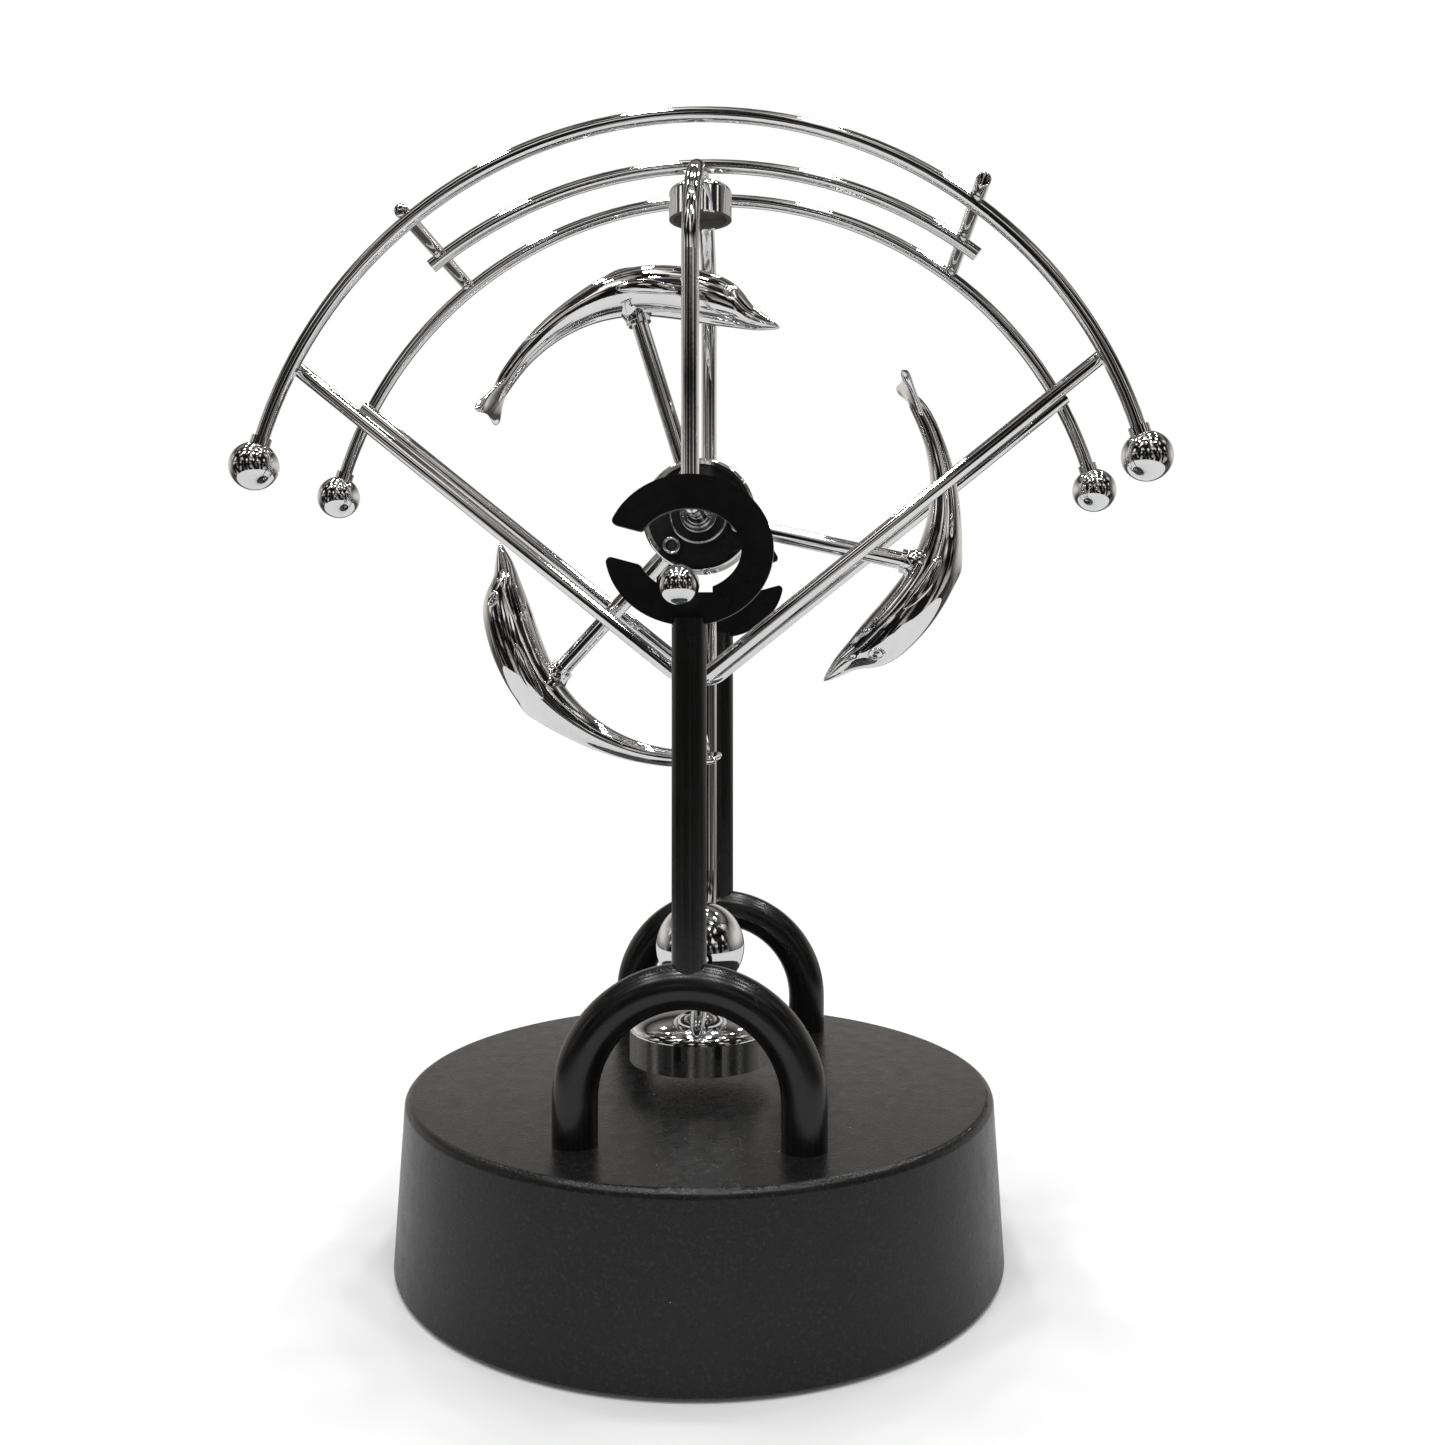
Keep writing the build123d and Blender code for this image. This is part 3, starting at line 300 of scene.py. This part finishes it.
def smooth_through(x, xs, ys):
    """A smooth curve through points, that doesn't overshoot between them."""
    steps = np.diff(xs)
    slopes = np.diff(ys) / steps
    tangents = np.zeros_like(ys)
    inner = slopes[:-1] * slopes[1:] > 0
    harmonic = 2 * slopes[:-1] * slopes[1:] / np.where(inner, slopes[:-1] + slopes[1:], 1)
    tangents[1:-1] = np.where(inner, harmonic, 0)
    tangents[0], tangents[-1] = slopes[0], slopes[-1]
    k = np.clip(np.searchsorted(xs, x) - 1, 0, len(steps) - 1)
    t = (x - xs[k]) / steps[k]
    h = steps[k]
    return ((1 + 2 * t) * (1 - t) ** 2 * ys[k] + t * (1 - t) ** 2 * h * tangents[k]
            + t**2 * (3 - 2 * t) * ys[k + 1] + t**2 * (t - 1) * h * tangents[k + 1])


def hump(value, centre, width):
    """A soft bump of height 1."""
    return np.exp(-(((value - centre) / width) ** 2))


def body_surface(angle, turn):
    """The dolphin's skin at an angle and a turn about its spine: 0 on the back, a quarter
    turn on the flank. Gives the radius and the sideways place."""
    flank_fullness, flank_width, flank_angle, flank_reach = 0.055, 0.26, 12, 26
    ridge_height, ridge_width, ridge_angle, ridge_reach = 0.5, 0.22, 0.8, 3.4
    mouth_depth, mouth_turn, mouth_width = 0.13, 1.72, 0.085
    mouth_corner, mouth_fade = -29.5, 3.0
    belly = smooth_through(angle, STATIONS[:, 0], STATIONS[:, 1])
    back = smooth_through(angle, STATIONS[:, 0], STATIONS[:, 2])
    width = smooth_through(angle, STATIONS[:, 0], STATIONS[:, 3])
    middle, depth = (belly + back) / 2, (back - belly) / 2
    # The flanks are a little fuller than an oval.
    flank = flank_fullness * hump(np.abs(turn), pi / 2, flank_width) * hump(angle, flank_angle, flank_reach)
    # The dorsal ridge, low and swept back.
    ridge = ridge_height * hump(turn, 0, ridge_width) * hump(angle, ridge_angle, ridge_reach)
    # The mouth line, only along the beak.
    beak = np.clip((mouth_corner - angle) / mouth_fade, 0, 1)
    mouth = mouth_depth * hump(np.abs(turn), mouth_turn, mouth_width) * beak
    return middle + depth * np.cos(turn) + ridge, width * np.sin(turn) * (1 + flank) * (1 - mouth)


def polar_points(angle, radius, side):
    """Polar millimetres about the hub, for a spoke that points along +X, as x, y, z in metres."""
    a = np.radians(angle)
    return np.stack([radius * np.cos(a), side, radius * np.sin(a)], axis=-1) * MM


def tube_mesh(rings):
    """Vertices and faces of a closed form through rings of points, round at both ends."""
    count, around = rings.shape[:2]
    vertices = [tuple(p) for p in rings.reshape(-1, 3)]
    faces = []
    for i in range(count - 1):
        for j in range(around):
            k = (j + 1) % around
            faces.append((i * around + j, i * around + k, (i + 1) * around + k, (i + 1) * around + j))
    for ring_index in (0, count - 1):
        vertices.append(tuple(rings[ring_index].mean(axis=0)))
        tip, first = len(vertices) - 1, ring_index * around
        for j in range(around):
            k = (j + 1) % around
            pair = (first + k, first + j) if ring_index == 0 else (first + j, first + k)
            faces.append((tip, *pair))
    return vertices, faces


def form_grid(start, end, steps, around):
    """Shares along a form and turns round it, as a grid."""
    share = np.linspace(start, end, steps)
    ring = np.linspace(0, 2 * pi, around, endpoint=False)
    return np.meshgrid(share, ring, indexing="ij")


def body_rings():
    turn = np.linspace(-pi, pi, BODY_ROUND, endpoint=False)
    share = np.linspace(0, 1, BODY_STEPS)
    start, end = STATIONS[0, 0], STATIONS[-1, 0]
    # A quarter of the spacing closes up towards the two ends.
    angle = start + (end - start) * (0.75 * share + 0.25 * (1 - np.cos(pi * share)) / 2)
    grid_angle, grid_turn = np.meshgrid(angle, turn, indexing="ij")
    radius, side = body_surface(grid_angle, grid_turn)
    return polar_points(grid_angle, radius, side)


def rounded_end(share):
    """A width along a leaf, 0 to 1, that closes round at its tip and its root."""
    return np.sqrt(np.clip(1 - (2 * share - 1) ** 2, 0.0, 1))


def flipper_rings(side_sign):
    """A leaf that lies back along the flank, from its root ahead to its tip behind."""
    root_angle, tip_angle = -12.6, 2.4
    root_turn, tip_turn, half_width = 1.76, 1.56, 0.30
    half_thickness, tip_lift, droop = 0.62, 0.30, 0.25
    rim_height, rim_place, rim_width = 0.16, 0.86, 0.1
    s, r = form_grid(0.004, 0.996, 60, 40)
    line = root_angle + (tip_angle - root_angle) * s
    leaf = rounded_end(s**1.25)
    turn = root_turn + (tip_turn - root_turn) * s + half_width * leaf * np.cos(r)
    radius, side = body_surface(line, turn)
    lift = half_thickness * leaf * np.abs(np.sin(r)) ** 0.7 * np.sign(np.sin(r)) + tip_lift * s
    rim = rim_height * hump(np.abs(np.cos(r)), rim_place, rim_width) * leaf * (np.sin(r) > 0)
    return polar_points(line, radius - droop * lift, side + lift + rim) * np.array([1, side_sign, 1])


def fluke_rings():
    """The tail: a thin fan spread across the swim, with rounded tips and a shallow notch."""
    root_front, tip_front = 34.0, 46.0
    notch_rear, tip_rear = 46.3, 47.6
    fluke_radius, half_spread = 44.9, 7.4
    thickness, tip_swell, root_swell = 0.6, 0.3, 0.25
    s, r = form_grid(-0.999, 0.999, 90, 36)
    spread = np.abs(s)
    front = root_front + (tip_front - root_front) * spread
    rear = notch_rear + (tip_rear - notch_rear) * spread**1.5
    closed = np.clip(1 - spread**10, 0, 1) ** 0.5
    middle, half = (front + rear) / 2, (rear - front) / 2 * closed
    swell = tip_swell * hump(spread, 0.86, 0.16) + root_swell * hump(spread, 0, 0.3)
    radius = fluke_radius + (thickness + swell) * closed * np.sin(r)
    return polar_points(middle + half * np.cos(r), radius, half_spread * s)


def boss_rings():
    """The flared boss where the spoke meets the belly."""
    inner_radius, outer_radius = 38.6, 42.0
    neck, flare = 2.2, 1.7
    s, r = form_grid(0, 1, 24, 48)
    out = inner_radius + (outer_radius - inner_radius) * s
    size = neck + flare * s**2
    return np.stack([out, size * np.cos(r), size * np.sin(r)], axis=-1) * MM


def eye_rings(side_sign):
    """A raised ring round a low dome."""
    eye_angle, eye_turn, eye_radius = -25.7, 1.22, 1.5
    head_radius, head_girth = 41.3, 3.9
    dome_height, ring_height, edge_sink, lift = 0.30, 0.26, 0.3, 0.02
    s, r = form_grid(0.001, 1, 26, 36)
    size = eye_radius * s
    height = (dome_height * hump(s, 0, 0.33) + ring_height * hump(s, 0.76, 0.12)
              - edge_sink * np.clip((s - 0.9) / 0.1, 0, 1))
    angle = eye_angle + np.degrees(size * np.cos(r) / head_radius)
    turn = eye_turn + size * np.sin(r) / head_girth
    radius, side = body_surface(angle, turn)
    return polar_points(angle, radius, side + height + lift) * np.array([1, side_sign, 1])


def make_piece(name, forms):
    """One smooth mesh object of several closed forms, with its faces turned outwards."""
    vertices, faces = [], []
    for form_vertices, form_faces in forms:
        start = len(vertices)
        vertices += form_vertices
        faces += [tuple(start + v for v in face) for face in form_faces]
    mesh = bpy.data.meshes.new(name)
    mesh.from_pydata(vertices, [], faces)
    work = bmesh.new()
    work.from_mesh(mesh)
    bmesh.ops.recalc_face_normals(work, faces=work.faces)
    work.to_mesh(mesh)
    work.free()
    for polygon in mesh.polygons:
        polygon.use_smooth = True
    obj = bpy.data.objects.new(name, mesh)
    bpy.context.scene.collection.objects.link(obj)
    return obj


def away_from_hub(box):
    """The direction from the hub to the middle of a box, square to the axle."""
    low, high = box
    middle = (low + high) / 2 - hub_centre
    return Vector((middle.x, 0, middle.z)).normalized()


dolphin_forms = [tube_mesh(rings) for rings in (
    body_rings(), flipper_rings(1), flipper_rings(-1), fluke_rings(), boss_rings(),
    eye_rings(1), eye_rings(-1),
)]
for number in (1, 2, 3):
    heading = away_from_hub(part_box(f"spoke_{number}"))
    spoke_angle = np.arctan2(heading.z, heading.x)
    piece = make_piece(f"cast_dolphin_{number}", dolphin_forms)
    piece.data.transform(Matrix.Translation(hub_centre) @ Matrix.Rotation(-spoke_angle, 4, "Y"))
    piece.data.materials.append(material_of["plated_casting"])
    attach(piece, "rotor")
    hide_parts(f"dolphin_{number}")

# ---------------------------------------------------------------- turned trim
# Rounded rings on the hub, the axle collars, the hub's tubes and the right bar: radius,
# half width, height. Domes on the left bar, and dark domes deep in the tubes that paint the
# shade of their bores: radius, height.
BOSS_RING = (5.15, 0.22, 0.22)
BUSH_RING = (3.2, 0.16, 0.13)
COLLAR_RINGS = ((2.65, 0.16, 0.12), (2.05, 0.12, 0.10))
TUBE_LIP = (1.36, 0.27, 0.26)
BAR_LIP = (1.1, 0.15, 0.12)
BORE_SHADE_PLUG = (0.98, 0.3)
BAR_WELD = (1.22, 0.6)
TUBE_CIRCLE = 7.5
PLUG_DEPTH = 1.2
AXIS_GAP = 0.01
TURNED_SIDES = 64
RING_POINTS = 20
DOME_STEPS = 12


def turned(profile, centre):
    """A form turned about Y through a closed outline of (radius, place along Y), in
    millimetres from a centre that is in metres."""
    turn = np.linspace(0, 2 * pi, TURNED_SIDES, endpoint=False)
    radii, places = np.array(profile).T
    radius, angle = np.meshgrid(radii, turn, indexing="ij")
    place = np.meshgrid(places, turn, indexing="ij")[0]
    points = np.stack([radius * np.cos(angle), place, radius * np.sin(angle)], axis=-1)
    vertices = [tuple(p) for p in points.reshape(-1, 3) * MM + np.array(centre)]
    faces = []
    for i in range(len(profile)):
        row, next_row = i * TURNED_SIDES, (i + 1) % len(profile) * TURNED_SIDES
        for j in range(TURNED_SIDES):
            k = (j + 1) % TURNED_SIDES
            faces.append((row + j, row + k, next_row + k, next_row + j))
    return vertices, faces


def ring_outline(size, place):
    """A rounded ring on a face at a place along Y."""
    radius, half_width, height = size
    turns = [2 * pi * i / RING_POINTS for i in range(RING_POINTS)]
    return [(radius + half_width * cos(t), place + height * sin(t)) for t in turns]


def dome_outline(size, place, side):
    """A low dome over a round end, on one side along Y."""
    radius, height = size
    foot = place - side * height / 3
    turns = [pi / 2 * i / DOME_STEPS for i in range(DOME_STEPS + 1)]
    crown = [(radius * cos(t) + AXIS_GAP, place + side * height * sin(t)) for t in turns]
    return [*crown, (AXIS_GAP, foot), (radius * 0.9, foot)]


def turned_piece(name, forms, body, slot_name):
    piece = make_piece(name, forms)
    piece.data.materials.append(material_of[slot_name])
    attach(piece, body)


def reach_along_axle(box, side):
    """How far a box reaches along Y from the hub's centre, in millimetres."""
    low, high = box
    end = low if side < 0 else high
    return (end.y - hub_centre.y) / MM


def front_end(box):
    """The middle of a box's front face."""
    low, high = box
    middle = (low + high) / 2
    return Vector((middle.x, low.y, middle.z))


tube_lips, bore_shade_plugs = [], []
for side, end_name in ((-1, "front"), (1, "rear")):
    boss_y = reach_along_axle(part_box(f"hub_{end_name}_face"), side)
    bush_y = reach_along_axle(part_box("hub_bush"), side)
    collar_y = reach_along_axle(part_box("axle_collars"), side)
    tube_y = reach_along_axle(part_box("hub_tubes"), side)
    turned_piece(f"hub_{end_name}_rings", [
        turned(ring_outline(BOSS_RING, boss_y), hub_centre),
        turned(ring_outline(BUSH_RING, bush_y), hub_centre),
    ], "rotor", "chrome")
    turned_piece(f"collar_{end_name}_rings", [
        turned(ring_outline(size, collar_y), hub_centre) for size in COLLAR_RINGS
    ], "swing", "chrome")
    for number in (1, 2, 3):
        tube_centre = hub_centre + away_from_hub(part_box(f"spoke_{number}")) * TUBE_CIRCLE * MM
        tube_lips.append(turned(ring_outline(TUBE_LIP, tube_y), tube_centre))
        # A dark dome inside each tube end: painted shade for the bore.
        bore_shade_plugs.append(turned(dome_outline(BORE_SHADE_PLUG, tube_y - side * PLUG_DEPTH, side), tube_centre))
turned_piece("tube_lips", tube_lips, "rotor", "chrome")
turned_piece("bore_shade_plugs", bore_shade_plugs, "rotor", "dark_plastic")
turned_piece("left_bar_weld", [
    turned(dome_outline(BAR_WELD, 0.0, -1), front_end(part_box("left_cross_bar"))),
], "swing", "chrome")
turned_piece("right_bar_lip", [
    turned(ring_outline(BAR_LIP, 0.0), front_end(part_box("right_cross_bar"))),
], "swing", "chrome")

# ---------------------------------------------------------------- floor, light, camera
FLOOR_REACH = 0.32
FLOOR_SIDES = 96
FLOOR_DROP = 0.1 * MM
FLOOR_TONE_IN_CHROME = 0.50
LAMP_ROWS = (-1.1, -0.35, 0.4, 1.15)
LAMP_COLUMNS = (-0.95, -0.32, 0.32, 0.95)
LAMP_HEIGHT = 1.9
LAMP_SIDE = 0.14
LAMP_POWER = 3.4
SOFT_LIGHT = 0.55
WARMTH = 0.05
# Tones of the hall by height of view: 0 straight down, 0.5 level, 1 straight up.
NEAR_WALL = (
    (0.0, 0.08), (0.40, 0.06), (0.47, 0.02), (0.53, 0.01), (0.57, 0.10), (0.61, 0.01),
    (0.68, 0.16), (0.76, 0.01), (0.86, 0.22), (0.93, 0.03), (1.0, 0.20),
)
FAR_WALL = (
    (0.0, 0.08), (0.40, 0.06), (0.47, 0.35), (0.52, 0.60), (0.60, 0.65), (0.70, 0.30),
    (0.78, 0.01), (0.86, 0.22), (0.93, 0.03), (1.0, 0.20),
)


def make_floor():
    """A round pale sheet, darker as chrome reflects it. Past it the world is as pale to the
    camera, and dark to gloss."""
    mesh = bpy.data.meshes.new("floor")
    turns = [2 * pi * i / FLOOR_SIDES for i in range(FLOOR_SIDES)]
    rim = [(FLOOR_REACH * cos(t), FLOOR_REACH * sin(t), -FLOOR_DROP) for t in turns]
    mesh.from_pydata(rim, [], [tuple(range(FLOOR_SIDES))])
    floor = bpy.data.objects.new("floor", mesh)
    bpy.context.scene.collection.objects.link(floor)
    g = Graph("floor_paper")
    pale = g.mix(g.noise(3, 2), grey(0.75), grey(0.79))
    mirrored = g.node("ShaderNodeLightPath").outputs["Is Glossy Ray"]
    g.set(Base_Color=g.mix(mirrored, pale, grey(FLOOR_TONE_IN_CHROME)), Roughness=0.85)
    mesh.materials.append(g.material)


def make_world():
    """White to the camera and soft to matt surfaces. Gloss sees a hall by elevation: a dark
    ceiling, a pale far wall, and a dark side with bright clutter behind the camera."""
    world = bpy.data.worlds.new("hall")
    world.use_nodes = True
    nodes, links = world.node_tree.nodes, world.node_tree.links
    nodes.clear()

    def add(kind, inputs, **settings):
        made = nodes.new(kind)
        for key, value in settings.items():
            setattr(made, key, value)
        for key, value in inputs.items():
            if isinstance(value, bpy.types.NodeSocket):
                links.new(value, made.inputs[key])
            else:
                made.inputs[key].default_value = value
        return made

    def remap(value, start, end, low, high):
        """Maps start..end to low..high, and clamps."""
        return add("ShaderNodeMapRange", {
            "Value": value, "From Min": start, "From Max": end, "To Min": low, "To Max": high,
        }).outputs["Result"]

    def ramp(value, stops):
        made = add("ShaderNodeValToRGB", {"Fac": value})
        elements = made.color_ramp.elements
        for element, (place, tone) in zip(elements, (stops[0], stops[-1])):
            element.position, element.color = place, grey(tone, WARMTH * tone)
        for place, tone in stops[1:-1]:
            elements.new(place).color = grey(tone, WARMTH * tone)
        return made.outputs["Color"]

    def background(colour, strength):
        return add("ShaderNodeBackground", {"Color": colour, "Strength": strength}).outputs[0]

    def either(factor, first, second):
        return add("ShaderNodeMixShader", {0: factor, 1: first, 2: second}).outputs[0]

    direction = add("ShaderNodeTexCoord", {}).outputs["Generated"]
    split = add("ShaderNodeSeparateXYZ", {0: direction})
    height = remap(split.outputs["Z"], -1, 1, 0, 1)
    far = remap(split.outputs["Y"], -0.15, 0.45, 0, 1)
    stretch = add("ShaderNodeMapping", {"Vector": direction, "Scale": (1.7, 1.7, 0.8)}).outputs[0]
    clutter = add("ShaderNodeTexNoise", {"Vector": stretch, "Scale": 2.6, "Detail": 3.0}).outputs["Fac"]
    near_light = remap(clutter, 0.51, 0.60, 0.12, 7.0)
    near_side = add("ShaderNodeMix", {0: 1.0, 6: ramp(height, NEAR_WALL), 7: near_light},
                    data_type="RGBA", blend_type="MULTIPLY").outputs[2]
    hall = add("ShaderNodeMix", {0: far, 6: near_side, 7: ramp(height, FAR_WALL)},
               data_type="RGBA").outputs[2]
    path = add("ShaderNodeLightPath", {}).outputs
    matt = either(path["Is Diffuse Ray"], background(grey(1.0), 1.0), background(grey(1.0), SOFT_LIGHT))
    add("ShaderNodeOutputWorld", {0: either(path["Is Glossy Ray"], matt, background(hall, 1.0))})
    bpy.context.scene.world = world


def ceiling_lamp(name, x, y):
    """A small square lamp that shines straight down."""
    light = bpy.data.lights.new(name, "AREA")
    light.shape, light.size, light.energy = "SQUARE", LAMP_SIDE, LAMP_POWER
    lamp = bpy.data.objects.new(name, light)
    lamp.location = (x, y, LAMP_HEIGHT)
    bpy.context.scene.collection.objects.link(lamp)


make_floor()
make_world()
for row, lamp_y in enumerate(LAMP_ROWS):
    for column, lamp_x in enumerate(LAMP_COLUMNS):
        ceiling_lamp(f"ceiling_{row}_{column}", lamp_x, lamp_y)

camera = bpy.data.cameras.new("camera")
camera.lens, camera.sensor_width = 32.68, 36.0
camera.shift_x, camera.shift_y = 0.0005, -0.0462
camera.clip_start = 0.01
camera_object = bpy.data.objects.new("camera", camera)
camera_object.location = (0.02076, -0.24332, 0.10464)
camera_object.rotation_euler = (radians(90.76), 0, radians(3.94))
bpy.context.scene.collection.objects.link(camera_object)
bpy.context.scene.camera = camera_object
bpy.context.scene.view_settings.view_transform = "Standard"
